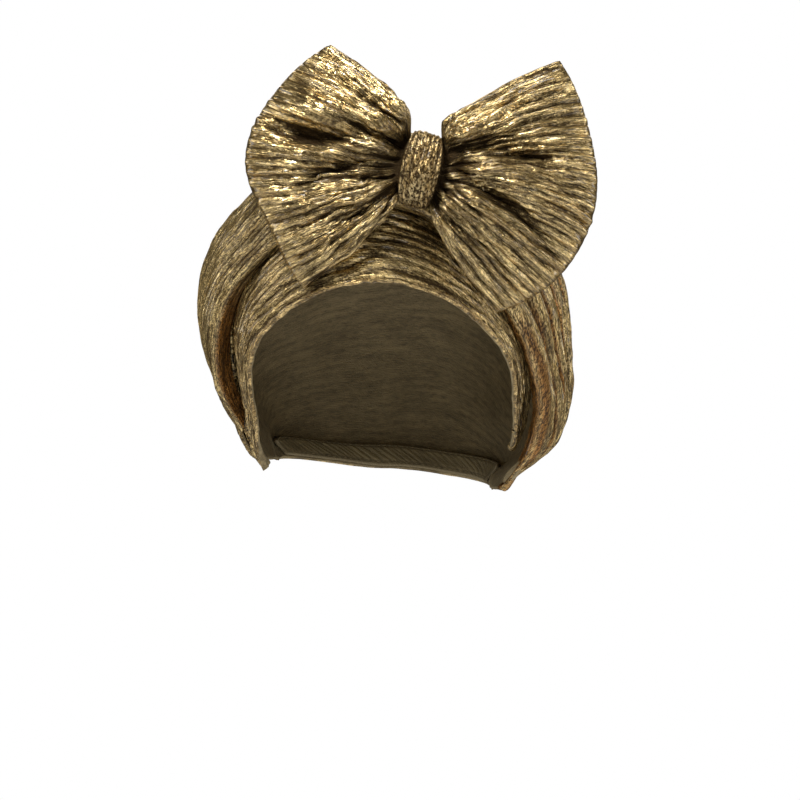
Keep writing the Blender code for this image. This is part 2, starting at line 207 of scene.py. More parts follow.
# Bow
BOW_CENTRE = np.array((0.0175, -0.1003, -0.0210))
BOW_LEAN = math.radians(12)
KNOT_HALF_HEIGHT = 0.0185
KNOT_HALF_DEPTH = 0.0130
KNOT_HALF_WIDTH = 0.0096
KNOT_END_NARROWING = 0.0026
WAIST_CLEARANCE = 0.0008
WAIST_EXIT = 0.12
WING_HALF_SPREAD = math.radians(50)
WING_FRONT_PUFF = 0.0165
WING_BACK_PUFF = 0.0080
WING_SEAM_HALF = 0.0013
WING_STATIONS = 104
WING_FACE_STEPS = 196
GATHERS = 7
GATHER_HEIGHT = 0.0027
WINGS = {
    "left": {
        "side": -1,
        "tilt": math.radians(5),
        "edge_pull": {"top": (0.005, 0.0395), "bottom": (0.021, -0.033)},
        "shoulder": 0.0070,
        "end": (
            # share, reach, sweep
            (-1.0, 0.0830, 0.0110),
            (-0.5, 0.0810, 0.0125),
            (0.0, 0.0885, 0.0130),
            (0.5, 0.0832, 0.0130),
            (1.0, 0.0785, 0.0140),
        ),
        "pleats": (
            # at_knot, at_end, depth, half_width, start, fade
            (-0.75, -0.66, 0.0035, 0.10, 0.00, 0.95),
            (-0.40, -0.42, 0.0050, 0.11, 0.00, 0.85),
            (0.28, -0.26, 0.0110, 0.14, 0.00, 0.80),
            (0.52, 0.20, 0.0095, 0.15, 0.28, 1.05),
            (0.74, 0.70, 0.0035, 0.10, 0.00, 0.60),
        ),
    },
    "right": {
        "side": 1,
        "tilt": math.radians(-11.3),
        "edge_pull": {"top": (0.009, 0.0300), "bottom": (0.002, -0.036)},
        "shoulder": 0.0066,
        "end": (
            (-1.0, 0.0805, 0.0260),
            (-0.5, 0.0878, 0.0210),
            (0.0, 0.0900, 0.0150),
            (0.5, 0.0877, 0.0120),
            (1.0, 0.0897, 0.0120),
        ),
        "pleats": (
            (-0.55, -0.80, 0.0055, 0.11, 0.00, 0.85),
            (0.12, -0.58, 0.0085, 0.13, 0.00, 1.10),
            (0.55, 0.12, 0.0110, 0.14, 0.04, 0.90),
            (0.78, 0.70, 0.0030, 0.10, 0.00, 0.55),
        ),
    },
}

# Folds of the wings' fronts, as lines in the front view. Each point of a line has x, z, depth, and the half
# width above the line and below it, or one half width for both. A negative depth is a ridge.
LEFT_FOLDS = (
    (  # under the upper lobe
        (0.0093, -0.0159, 0.007, 0.0045), (-0.0026, -0.0169, 0.011, 0.006),
        (-0.014, -0.0174, 0.0135, 0.007), (-0.025, -0.0209, 0.0125, 0.008, 0.009),
        (-0.0344, -0.0253, 0.009, 0.008, 0.01), (-0.0443, -0.0303, 0.004, 0.008, 0.01),
        (-0.054, -0.035, 0.0, 0.008, 0.01),
    ),
    (  # pocket in the upper lobe
        (0.008, -0.0075, 0.006, 0.0035), (-0.0051, -0.0053, 0.008, 0.0045, 0.004),
        (-0.0175, -0.0043, 0.0095, 0.0055, 0.0045), (-0.025, -0.0055, 0.0115, 0.0065, 0.005),
        (-0.0324, -0.0063, 0.0135, 0.0075, 0.0055), (-0.043, -0.0032, 0.012, 0.008, 0.0065),
        (-0.053, 0.0, 0.0075, 0.008, 0.007), (-0.063, 0.002, 0.0, 0.008, 0.007),
    ),
    (  # top of the lower lobe
        (0.0088, -0.0228, 0.006, 0.0035, 0.004), (0.0008, -0.0253, 0.009, 0.0045, 0.005),
        (-0.0066, -0.0268, 0.0095, 0.005, 0.006), (-0.0145, -0.0298, 0.0075, 0.006, 0.007),
        (-0.0235, -0.0343, 0.0045, 0.006, 0.007), (-0.035, -0.04, 0.0, 0.006, 0.007),
    ),
    (  # lower lobe
        (0.0093, -0.0288, 0.005, 0.003), (-0.0001, -0.0348, 0.008, 0.004),
        (-0.0126, -0.0432, 0.008, 0.005), (-0.025, -0.0511, 0.0055, 0.005),
        (-0.0364, -0.0571, 0.0, 0.005),
    ),
    (  # between the lower ridges
        (-0.004, -0.03, 0.0, 0.003), (-0.015, -0.0365, 0.006, 0.004),
        (-0.028, -0.044, 0.0062, 0.0045), (-0.04, -0.05, 0.003, 0.0045),
        (-0.048, -0.053, 0.0, 0.0045),
    ),
    (  # lower edge
        (0.0108, -0.0348, 0.003, 0.0025), (0.0033, -0.0427, 0.004, 0.0035),
        (-0.0066, -0.0526, 0.0035, 0.004), (-0.0185, -0.0621, 0.0015, 0.004),
        (-0.026, -0.068, 0.0, 0.004),
    ),
    (  # upper gather
        (0.0093, -0.0099, 0.005, 0.0035), (-0.0001, -0.007, 0.0055, 0.0045),
        (-0.0116, -0.001, 0.0035, 0.005), (-0.0215, 0.0049, 0.0, 0.005),
    ),
    (  # top gather
        (0.0103, -0.005, 0.004, 0.003), (0.0033, 0.002, 0.0045, 0.004),
        (-0.0051, 0.0104, 0.0032, 0.0045), (-0.0145, 0.0178, 0.0015, 0.0045),
        (-0.024, 0.024, 0.0, 0.0045),
    ),
    (  # ridge over the pocket
        (-0.016, 0.001, 0.0, 0.005), (-0.024, 0.003, -0.0035, 0.0055),
        (-0.032, 0.006, -0.006, 0.0065), (-0.041, 0.009, -0.0065, 0.007),
        (-0.051, 0.0112, -0.0045, 0.007), (-0.061, 0.0115, 0.0, 0.007),
    ),
)
RIGHT_FOLDS = (
    (  # deep pocket
        (0.0286, -0.0139, 0.0085, 0.0045), (0.0381, -0.0124, 0.0125, 0.0055),
        (0.0495, -0.0109, 0.0135, 0.007), (0.0594, -0.0124, 0.0145, 0.008),
        (0.0693, -0.0144, 0.012, 0.008, 0.009), (0.0793, -0.0169, 0.0075, 0.008, 0.009),
        (0.0902, -0.0199, 0.0, 0.008, 0.009),
    ),
    (  # long fold
        (0.0281, -0.0169, 0.0065, 0.004), (0.0361, -0.0209, 0.01, 0.0055),
        (0.0445, -0.0273, 0.0125, 0.007, 0.0065), (0.053, -0.0323, 0.012, 0.0075, 0.007),
        (0.0629, -0.0397, 0.01, 0.008, 0.0075), (0.0743, -0.0506, 0.0075, 0.008, 0.0075),
        (0.0842, -0.0616, 0.004, 0.008, 0.0075), (0.0907, -0.068, 0.0, 0.008, 0.0075),
    ),
    (  # lower fold
        (0.0262, -0.0268, 0.0065, 0.004), (0.0311, -0.0353, 0.009, 0.005, 0.0045),
        (0.0371, -0.0442, 0.009, 0.0055, 0.005), (0.046, -0.0536, 0.0065, 0.006, 0.0055),
        (0.0554, -0.0635, 0.004, 0.006), (0.0649, -0.073, 0.0, 0.006),
    ),
    (  # top gather
        (0.0276, -0.008, 0.0045, 0.0035), (0.0346, -0.002, 0.0045, 0.004),
        (0.046, 0.003, 0.0032, 0.0045), (0.0599, 0.0084, 0.0015, 0.0045),
        (0.072, 0.0125, 0.0, 0.0045),
    ),
    (  # upper gather
        (0.0281, -0.0114, 0.004, 0.003), (0.0396, -0.007, 0.0045, 0.004),
        (0.0569, -0.0025, 0.0035, 0.0045), (0.0748, -0.0005, 0.0, 0.0045),
    ),
    (  # between the folds
        (0.0276, -0.0219, 0.0045, 0.003), (0.0346, -0.0298, 0.006, 0.004, 0.0035),
        (0.044, -0.0407, 0.0055, 0.0045), (0.0569, -0.0526, 0.0035, 0.0045),
        (0.0698, -0.0621, 0.0, 0.0045),
    ),
    (  # lower edge
        (0.0237, -0.0328, 0.0035, 0.0025), (0.0276, -0.0427, 0.0045, 0.0035),
        (0.0351, -0.0556, 0.0035, 0.004), (0.045, -0.068, 0.0015, 0.004),
        (0.053, -0.076, 0.0, 0.004),
    ),
)
WING_FOLDS = {"left": LEFT_FOLDS, "right": RIGHT_FOLDS}


# Curves and crinkle


def smooth_curve(knots, values, t):
    """A smooth curve through the values at the knots. The values' last axis goes over the knots."""
    knots, values = np.asarray(knots, float), np.asarray(values, float)
    t = np.clip(t, knots[0], knots[-1])
    i = np.clip(np.searchsorted(knots, t, side="right") - 1, 0, len(knots) - 2)
    slopes = np.diff(values, axis=-1) / np.diff(knots)
    tangents = np.concatenate(
        [slopes[..., :1], (slopes[..., :-1] + slopes[..., 1:]) / 2, slopes[..., -1:]], axis=-1
    )

    def pick(table, k):
        return table[k] if table.ndim == 1 else np.take_along_axis(table, k, axis=-1)

    span = np.diff(knots)[i]
    s = (t - knots[i]) / span
    return (
        (2 * s**3 - 3 * s**2 + 1) * pick(values, i)
        + (s**3 - 2 * s**2 + s) * span * pick(tangents, i)
        + (3 * s**2 - 2 * s**3) * pick(values, i + 1)
        + (s**3 - s**2) * span * pick(tangents, i + 1)
    )


def from_table(table, column, at):
    """A column of a table as a smooth curve over its first column."""
    return smooth_curve([row[0] for row in table], [row[column] for row in table], at)


def smooth_step(t):
    """From 0 to 1 with level ends, as t goes from 0 to 1."""
    t = np.clip(t, 0.0, 1.0)
    return t * t * (3 - 2 * t)


def scatter(i, j, seed):
    """An even number from 0 to 1 for each point of a lattice, always the same for a seed."""
    spun = np.sin(i * 127.1 + j * 311.7 + seed * 74.7) * 43758.5453
    return spun - np.floor(spun)


def noise(x, y, seed):
    """Smooth noise from -1 to 1 with one wave to about two units."""
    i, j = np.floor(x), np.floor(y)
    u, v = smooth_step(x - i), smooth_step(y - j)
    low = scatter(i, j, seed) * (1 - u) + scatter(i + 1, j, seed) * u
    high = scatter(i, j + 1, seed) * (1 - u) + scatter(i + 1, j + 1, seed) * u
    return 2 * (low * (1 - v) + high * v) - 1


def crinkle(along, across, pitch, seed):
    """Height of the crinkled cloth, 0 in a valley and 1 on a rib, at metres along its ribs and across."""
    sway = 0.42 * pitch * noise(along / 0.023, across / (6 * pitch), seed + 1)
    sway = sway + 0.20 * pitch * noise(along / 0.0085, across / (2 * pitch), seed + 2)
    place = (across + sway) / pitch
    drift = 1.7 * noise(along / 0.050, place / 2.3, seed + 3)
    rib = np.abs(np.sin(math.pi * place + drift)) ** 0.75
    strength = 0.66 + 0.34 * noise(along / 0.019, place / 1.2, seed + 4)
    wrinkle = np.abs(noise(along / 0.0095, place * 2.2, seed + 5)) ** 0.8
    pucker = noise(along / 0.0062, place / 0.9, seed + 6)
    return np.clip(0.74 * rib * strength + 0.20 * wrinkle + 0.21 * pucker * rib, 0.0, 1.0)


def steps_between(start, end, count, length):
    """Evenly spaced values with small first steps at both edges, as shares of the length in metres."""
    edge = np.array(EDGE_STEPS) / length * (end - start)
    middle = np.linspace(start + edge[-1], end - edge[-1], count + 3 - 2 * len(edge))[1:-1]
    return np.concatenate([start + edge, middle, (end - edge)[::-1]])


def edge_distance(down, over):
    """How far each point is from a grid's nearest edge, from its lengths down and over the grid."""
    return np.minimum(np.minimum(down, down[-1:] - down), np.minimum(over, over[:, -1:] - over))


def edge_rounding(distance, radius, least):
    """From the least share of a wall's thickness at an edge to 1 where it has all of it."""
    round_off = np.sqrt(np.clip(1 - (1 - np.clip(distance / radius, 0, 1)) ** 2, 0, 1))
    return np.maximum(round_off, least)[..., None]


def cross_length(points, axis):
    """How far each point is from the first row or column, along the cloth."""
    stride = np.linalg.norm(np.diff(points, axis=axis), axis=-1)
    start = np.zeros_like(np.take(stride, [0], axis=axis))
    return np.concatenate([start, np.cumsum(stride, axis=axis)], axis=axis)


def over_crest(across):
    """For each point, how far its row is from the first row at the middle column."""
    return across[:, across.shape[1] // 2][:, None] + 0 * across


def normals_of(points, outside_of, loop=False):
    """Unit normals of a grid of points, which point away from a place inside it."""
    down = np.gradient(points, axis=0)
    if loop:
        padded = np.concatenate([points[:, -1:], points, points[:, :1]], axis=1)
        over = np.gradient(padded, axis=1)[:, 1:-1]
    else:
        over = np.gradient(points, axis=1)
    normal = np.cross(down, over)
    normal /= np.maximum(np.linalg.norm(normal, axis=-1, keepdims=True), 1e-12)
    if np.sum(normal * (points - np.asarray(outside_of))) < 0:
        normal = -normal
    return normal


# Meshes


def new_object(name, data):
    made = bpy.data.objects.new(name, data)
    bpy.context.scene.collection.objects.link(made)
    return made


def new_piece(name, points, faces, cloths, face_cloths, uv, readings):
    """A closed piece. Its map is in metres along and across the cloth's ribs, for each corner of a face."""
    mesh = bpy.data.meshes.new(name)
    mesh.from_pydata(points.tolist(), [], faces)
    for cloth in cloths:
        mesh.materials.append(cloth)
    mesh.polygons.foreach_set("material_index", face_cloths)
    mesh.uv_layers.new(name="cloth").data.foreach_set("uv", np.asarray(uv, float).ravel())
    for reading, values in readings.items():
        mesh.attributes.new(reading, "FLOAT", "POINT").data.foreach_set("value", values.ravel())
    shape = bmesh.new()
    shape.from_mesh(mesh)
    if shape.calc_volume(signed=True) < 0:
        bmesh.ops.reverse_faces(shape, faces=shape.faces)
    shape.to_mesh(mesh)
    shape.free()
    mesh.shade_smooth()
    return new_object(name, mesh)


def grid_corners(rows, columns, loop=False):
    """The four corners of each quad of a grid, as row and column numbers."""
    r, c = np.meshgrid(np.arange(rows - 1), np.arange(columns if loop else columns - 1), indexing="ij")
    r, c = r.ravel(), c.ravel()
    return np.stack([r, r + 1, r + 1, r], 1), np.stack([c, c, c + 1, c + 1], 1)


def make_wall(name, outer, inner, along, across, readings, cloths, loop=False):
    """A closed wall from a fine outer grid and an inner grid that uses every other point.

    cloths are the face side's and the lining side's. A loop's grids leave out their last column, which is the
    first again, but its map has it.
    """
    rows, columns = outer.shape[:2]
    lining = inner[::2, ::2]
    map_points = np.stack([along, across], -1)
    faces, maps, kinds = [], [], []
    r, c = grid_corners(rows, columns, loop)
    faces += (r * columns + c % columns).tolist()
    maps.append(map_points[r, c].reshape(-1, 2))
    kinds += [0] * len(r)
    first = rows * columns
    r, c = grid_corners(lining.shape[0], lining.shape[1], loop)
    r, c = r[:, ::-1], c[:, ::-1]
    faces += (first + r * lining.shape[1] + c % lining.shape[1]).tolist()
    maps.append(map_points[2 * r, 2 * c].reshape(-1, 2))
    kinds += [1] * len(r)

    def outer_at(i, j):
        return i * columns + j % columns

    def inner_at(i, j):
        return first + (i // 2) * lining.shape[1] + (j // 2) % lining.shape[1]

    rims = []
    for j in range(0, columns - (0 if loop else 1), 2):
        rims.append([(0, j), (0, j + 1), (0, j + 2)])
        rims.append([(rows - 1, j + 2), (rows - 1, j + 1), (rows - 1, j)])
    if not loop:
        for i in range(0, rows - 1, 2):
            rims.append([(i + 2, 0), (i + 1, 0), (i, 0)])
            rims.append([(i, columns - 1), (i + 1, columns - 1), (i + 2, columns - 1)])
    for start, middle, end in rims:
        faces.append([outer_at(*start), outer_at(*middle), outer_at(*end), inner_at(*end), inner_at(*start)])
        corners = np.array([start, middle, end, end, start])
        maps.append(map_points[corners[:, 0], corners[:, 1]])
        kinds.append(0)
    points = np.concatenate([outer.reshape(-1, 3), lining.reshape(-1, 3)])
    both = {
        reading: np.concatenate([values.ravel(), values[::2, ::2].ravel()])
        for reading, values in readings.items()
    }
    return new_piece(name, points, faces, cloths, kinds, np.concatenate(maps), both)


# Shader nodes


def add_node(tree, kind, settings=None, values=None):
    """The outputs of a new node. Its settings are set first, then its sockets get values or links."""
    made = tree.nodes.new(kind)
    for setting, value in (settings or {}).items():
        setattr(made, setting, value)
    for socket, value in (values or {}).items():
        if isinstance(value, bpy.types.NodeSocket):
            tree.links.new(value, made.inputs[socket])
        else:
            made.inputs[socket].default_value = value
    return made.outputs


class Reading:
    """An output of a shader node. Sums with it add Math nodes."""

    def __init__(self, finish, socket):
        self.finish = finish
        self.socket = socket

    def maths(self, operation, a, b):
        return self.finish.node("ShaderNodeMath", {"operation": operation}, {0: a, 1: b})

    def __add__(self, other):
        return self.maths("ADD", self, other)

    def __radd__(self, other):
        return self.maths("ADD", other, self)

    def __sub__(self, other):
        return self.maths("SUBTRACT", self, other)

    def __rsub__(self, other):
        return self.maths("SUBTRACT", other, self)

    def __mul__(self, other):
        return self.maths("MULTIPLY", self, other)

    def __rmul__(self, other):
        return self.maths("MULTIPLY", other, self)

    def __abs__(self):
        return self.maths("ABSOLUTE", self, 0.0)


class Finish:
    """A material with its nodes."""

    def __init__(self, name):
        self.material = bpy.data.materials.new(name)
        self.material.use_nodes = True
        self.tree = self.material.node_tree
        self.tree.nodes.clear()

    def node(self, kind, settings=None, values=None, output=0):
        """One output of a new node, whose values are numbers, colours or readings."""
        given = {k: v.socket if isinstance(v, Reading) else v for k, v in (values or {}).items()}
        return Reading(self, add_node(self.tree, kind, settings, given)[output])

    def cloth_map(self):
        return self.node("ShaderNodeUVMap", {"uv_map": "cloth"})

    def reading(self, name):
        """What a piece's attribute says at each place."""
        return self.node("ShaderNodeAttribute", {"attribute_name": name}, output=2)

    def scaled(self, place, along, across):
        return self.node("ShaderNodeMapping", {}, {"Vector": place, "Scale": (1 / along, 1 / across, 1)})

    def spots(self, place, along, across, detail=2.0):
        """Noise from 0 to 1 over the cloth's map, with spots of a length and width in metres."""
        at = self.scaled(place, along, across)
        return self.node("ShaderNodeTexNoise", {}, {"Vector": at, "Scale": 1.0, "Detail": detail})

    def cells(self, place, along, across):
        """A colour for each loop of the knit, with a length and width in metres."""
        at = self.scaled(place, along, across)
        return self.node("ShaderNodeTexVoronoi", {}, {"Vector": at, "Scale": 1.0}, output=1)

    def tilted(self, cell, much):
        """The surface's normal, tilted another way on each loop of the knit."""
        tilt = self.node("ShaderNodeVectorMath", {"operation": "SUBTRACT"}, {0: cell, 1: (0.5, 0.5, 0.5)})
        tilt = self.node("ShaderNodeVectorMath", {"operation": "SCALE"}, {0: tilt, "Scale": much})
        straight = self.node("ShaderNodeNewGeometry", output=1)
        return self.node("ShaderNodeVectorMath", {"operation": "ADD"}, {0: straight, 1: tilt})

    def between(self, value, low, high, start=0.0, end=1.0):
        """A value moved smoothly from the range low to high to the range start to end."""
        return self.node(
            "ShaderNodeMapRange",
            {"interpolation_type": "SMOOTHSTEP"},
            {"Value": value, "From Min": low, "From Max": high, "To Min": start, "To Max": end},
        )

    def blend(self, share, first, second):
        """A colour between two colours."""
        values = {"Factor": share, 6: first, 7: second}
        return self.node("ShaderNodeMix", {"data_type": "RGBA"}, values, output=2)

    def bump(self, height, strength, distance, **more):
        values = {"Strength": strength, "Distance": distance, "Height": height, **more}
        return self.node("ShaderNodeBump", {}, values)

    def surface(self, values):
        shader = self.node("ShaderNodeBsdfPrincipled", {}, values)
        add_node(self.tree, "ShaderNodeOutputMaterial", {}, {"Surface": shader.socket})
        return self.material


def foil_cloth(name, foil, wear_and_valley_shade, speckle, loop, streak, roughness, gloss):
    """Gold foil on a dark crinkled knit.

    The third value is how much knit, with painted shade, shows in the valleys, and speckle how much on each
    loop, both from 0 to 1.
    loop is the length of a loop of the knit and streak that of a crease in the foil. gloss is the weight of
    the clear skin on the foil.
    """
    finish = Finish(name)
    place = finish.cloth_map()
    rise, warmth = finish.reading("rise"), finish.reading("warmth")
    streaks = finish.spots(place, streak, 0.0023)
    flecks = finish.spots(place, 0.0030, 0.0010)
    patches = finish.spots(place, 0.022, 0.008)
    creases = finish.between(abs(streaks - 0.5), 0.0, 0.06)
    cell = finish.cells(place, loop, 0.8 * loop)
    loops = finish.node("ShaderNodeSeparateColor", {}, {"Color": cell})
    # Where the foil covers the knit; it thins where the rise is low, which paints shade in the valleys as
    # well as bare knit
    foil_left_and_valley_shade = rise * 1.1 + loops * 0.20 + (flecks - 0.5) * 0.40 + (patches - 0.5) * 0.30
    foil_cover_and_valley_shade = finish.between(foil_left_and_valley_shade, 0.12 + wear_and_valley_shade, 0.40 + wear_and_valley_shade)
    gold = finish.blend(finish.between(patches + flecks, 0.75, 1.3), OLIVE_FOIL, foil)
    bright = finish.between(loops + creases * 0.10, 0.30, 0.75)
    gold = finish.blend(bright, finish.blend(speckle, gold, DARK_LOOP), gold)
    # Painted valley shade: darker where the crinkle's rise is low, mottled by streaks and flecks; the crease
    # lines darken it too
    depth = finish.between(rise + (streaks - 0.5) * 0.9 + (flecks - 0.5) * 0.3, 0.10, 0.68, 0.25, 1.0)
    colour = finish.blend(foil_cover_and_valley_shade * depth * (creases * 0.60 + 0.40), BARE_KNIT_AND_VALLEY_SHADE, gold)
    # Painted reflection of the wearer's skin, mixed in as far as each piece's reading for it says
    colour = finish.blend(warmth, colour, finish.blend(foil_cover_and_valley_shade * bright * depth, SKIN_REFLECTION_KNIT, SKIN_REFLECTION_FOIL))
    height = creases * 0.45 + streaks * 1.1 + flecks * 0.5
    return finish.surface(
        {
            "Base Color": colour,
            "Metallic": foil_cover_and_valley_shade * 0.25 + 0.7,
            "Roughness": (1 - foil_cover_and_valley_shade) * 0.20 + (1 - patches) * 0.12 + roughness,
            "Coat Weight": foil_cover_and_valley_shade * depth * gloss,
            "Coat Roughness": 0.15,
            "Specular Tint": WARM_SHINE,
            "Normal": finish.bump(height, 0.9, 0.0010, Normal=finish.tilted(cell, 0.36)),
        }
    )


def knit_back(name, colour, dark):
    """The plain back of the knit, seen inside the hat."""
    finish = Finish(name)
    place = finish.cloth_map()
    courses = finish.spots(place, 0.0040, 0.0006)
    knit = finish.spots(place, 0.0008, 0.0008, 1.0)
    # Darker where the crinkle's rise is low, which is painted valley shade, mixed with the knit's own courses
    # and loops.
    shade = finish.between(finish.reading("rise") * 0.5 + courses + knit * 0.5, 0.6, 1.4)
    return finish.surface(
        {
            "Base Color": finish.blend(shade, dark, colour),
            "Metallic": 0.15,
            "Roughness": knit * 0.1 + 0.72,
            "Normal": finish.bump(courses + knit, 0.6, 0.0004),
        }
    )


def sewing_thread(name):
    finish = Finish(name)
    place = finish.node("ShaderNodeTexCoord", output=3)
    twist = finish.node("ShaderNodeTexNoise", {}, {"Vector": place, "Scale": 2600.0, "Detail": 1.0})
    return finish.surface(
        {
            "Base Color": finish.blend(twist, THREAD_DARK, THREAD_LIGHT),
            "Roughness": 0.55,
            "Normal": finish.bump(twist, 0.5, 0.0001),
        }
    )


# Crown and front band


def arch_surface(shape, at, degrees, lift=0.0):
    """Points of arches: at has one value for each row, and degrees one for each point."""
    table, base_z, hem_z = shape
    arch = {name: from_table(table, i, at)[:, None] for i, name in enumerate(ARCH_COLUMNS)}
    rise_y, rise_z = arch["crest_y"] - arch["base_y"], arch["crest_z"] - base_z
    rise = np.hypot(rise_y, rise_z)
    distances = [arch[k] for k in ("hem_l", "low_l", "high_l")] + [rise]
    distances += [arch[k] for k in ("high_r", "low_r", "hem_r")]
    reach = smooth_curve([30 * i for i in range(7)], np.concatenate(distances, axis=1), degrees) + lift
    turn = np.radians(degrees)
    across, up = np.cos(turn), np.sin(turn)
    drop = np.where(across > 0, hem_z["left"], hem_z["right"]) - base_z
    y = arch["base_y"] + rise_y / rise * reach * up
    z = base_z + rise_z / rise * reach * up + drop * across**2
    return np.stack([-reach * across, y, z], axis=-1)


def towards_top(degrees):
    """From 0 at both ends of an arch to 1 at its top."""
    return np.clip(np.sin(np.radians(degrees)), 0, 1) ** 0.5


def crown_trim(at, degrees):
    """How far the crown's outline stands out of its arches."""
    left = degrees < 90
    above = np.where(left, degrees, 180 - degrees)
    trim = np.where(left, from_table(CROWN_TRIM, 1, above), from_table(CROWN_TRIM, 2, above))
    at = at[:, None]
    low_end = 0.6 * smooth_step((34 - degrees) / 14) + 0.3 * smooth_step((22 - degrees) / 7)
    past_fold = np.maximum(smooth_step((at - FOLD) / (SHOULDER - FOLD)), low_end)
    trim = trim * past_fold * smooth_step((NAPE - at) / (NAPE - LOW_BACK))
    tucked = smooth_step((FOLD - at) / FOLD) * smooth_step((42 - degrees) / 15)
    return trim - CROWN_TUCK_IN * tucked


def crown_middle(at, degrees):
    return arch_surface(CROWN, at, degrees, crown_trim(at, degrees))


def even_rows(shape, count):
    """Places of rows that are evenly spaced over the crest of the arches, with small steps at the edges."""
    fine = np.linspace(shape[0][0][0], shape[0][-1][0], FINE_ROWS)
    length = cross_length(arch_surface(shape, fine, np.full((FINE_ROWS, 1), 90.0)), 0)[:, 0]
    return np.interp(steps_between(0, length[-1], count, length[-1]), length, fine)


def make_crown(cloth, back):
    at = even_rows(CROWN, CROWN_ROWS)
    start = from_table(CROWN_ARCHES, -1, at)[:, None]
    degrees = start + (180 - start) * steps_between(0, 1, CROWN_COLUMNS, CROWN_ARCH_LENGTH)[None, :]
    middle = crown_middle(at, degrees)
    normal = normals_of(middle, HEAD_CENTRE)
    along = cross_length(middle, 1)
    crest = over_crest(cross_length(middle, 0))
    fold_length = np.interp(FOLD, at, crest[:, 0])
    past_fold = crest - fold_length
    right = smooth_step((degrees - 100) / 30) * smooth_step((fold_length + RIGHT_RIB_REACH - crest) / 0.05)
    right = right * smooth_step(past_fold / 0.004)
    left = smooth_step((70 - degrees) / 25)
    ribs = crinkle(along, crest, CROWN_RIB_PITCH, seed=11)
    wide_ribs = crinkle(along, crest, RIGHT_RIB_PITCH, seed=23)
    drift = 1.3 * noise(along / 0.06, crest / 0.03, seed=31)
    pleats = np.abs(np.sin(math.pi * past_fold / RIGHT_PLEAT_PITCH + drift))
    shown = smooth_step((past_fold + 0.002) / 0.006)
    shown = np.maximum(shown, 0.9 * smooth_step((degrees - 115) / 15))
    sides = towards_top(degrees)
    lift = CROWN_RIB_HEIGHT * ribs * (1 - 0.45 * left - 0.2 * right) * (0.5 + 0.5 * sides)
    lift = lift + right * (RIGHT_PLEAT_HEIGHT * pleats**0.7 + RIGHT_RIB_HEIGHT * wide_ribs) * sides
    lift = lift * (0.3 + 0.7 * shown) * (1 - 0.3 * smooth_step((crest - 0.15) / 0.08))
    rounding = edge_rounding(edge_distance(crest, along), CROWN_EDGE_RADIUS, THIN_EDGE)
    outer = middle + normal * (WALL / 2 * rounding + lift[..., None] * rounding)
    inner = middle - normal * WALL / 2 * rounding
    rise = np.clip(ribs * (1 - 0.65 * right) + right * (0.55 * pleats**1.3 + 0.25 * wide_ribs) * 0.9, 0, 1)
    # Painted highlight along the rolled fold's crest: the rise is raised there, which lightens the colour.
    rise = np.clip(rise + 0.6 * np.exp(-(((past_fold - 0.001) / 0.0022) ** 2)), 0, 1)
    lip = smooth_step((fold_length + 0.001 - crest) / 0.003)
    side = np.where(degrees < 90, smooth_step((62 - degrees) / 14), smooth_step((degrees - 112) / 12))
    grooves = 0.95 * right * smooth_step((degrees - 118) / 12) * smooth_step((0.82 - pleats) / 0.5)
    # The crown's fold lip and the right side's grooves get a painted reflection of the wearer's skin.
    readings = {"rise": rise, "warmth": np.clip(lip * side * 0.9 + grooves, 0, 1)}
    return make_wall("crown_cloth", outer, inner, along, crest, readings, (cloth, back))


def make_front_band(cloth, back):
    """The band, and the line of its hem's stitches."""
    at = even_rows(BAND, BAND_ROWS)
    degrees = 180 * steps_between(0, 1, BAND_COLUMNS, BAND_ARCH_LENGTH)[None, :] + 0 * at[:, None]
    middle = arch_surface(BAND, at, degrees)
    inward = np.gradient(middle, axis=0)
    inward = inward / np.linalg.norm(inward, axis=-1, keepdims=True)
    along, across = cross_length(middle, 1), cross_length(middle, 0)
    pucker = noise(along / 0.0036, 0 * along, seed=59) + 0.7 * noise(along / 0.0085, 0 * along, seed=67)
    middle = middle + inward * (BAND_HEM_PUCKER * pucker * smooth_step(1 - across / 0.006))[..., None]
    normal = normals_of(middle, BAND_CENTRE)
    crest = over_crest(across)
    ribs = crinkle(along, crest, BAND_RIB_PITCH, seed=47)
    hidden = smooth_step((crest[-1] - 0.012 - crest) / 0.008)
    lift = BAND_RIB_HEIGHT * ribs * (0.5 + 0.5 * towards_top(degrees))
    lift = lift * smooth_step((crest - 0.0022) / 0.0015) * hidden
    tight = smooth_step((58 - degrees) / 26) * smooth_step((crest - 0.006) / 0.012)
    tight = np.maximum(tight, smooth_step((22 - degrees) / 16))
    tight = tight + 0.8 * smooth_step((62 - degrees) / 25) * smooth_step((crest - 0.022) / 0.010)
    lift = lift - BAND_TIGHT * tight
    from_roll = (crest - BAND_HEM_ROLL_HALF) / BAND_HEM_ROLL_HALF
    roll = BAND_HEM_ROLL * np.sqrt(np.clip(1 - from_roll**2, 0, 1))
    rounding = edge_rounding(edge_distance(crest, along), BAND_EDGE_RADIUS, THIN_EDGE)
    outer = middle + normal * (WALL / 2 * rounding + (lift + roll)[..., None] * rounding)
    inner = middle - normal * (WALL / 2 * rounding + (roll * 0.5 + BAND_TIGHT * tight)[..., None] * rounding)
    on_roll = crest < BAND_HEM_ROLL_END
    rise = np.where(on_roll, 0.35 + 0.4 * crinkle(along * 3, crest, 0.002, seed=53), ribs)
    # The rolled hem gets a little painted reflection of the wearer's skin.
    readings = {"rise": rise, "warmth": 0 * rise + 0.12 * on_roll}
    band = make_wall("front_band_cloth", outer, inner, along, crest, readings, (cloth, back))
    hem_row = int(np.argmin(np.abs(crest[:, 0] - HEM_STITCH_INSET)))
    return band, inner[hem_row, 6:-6]


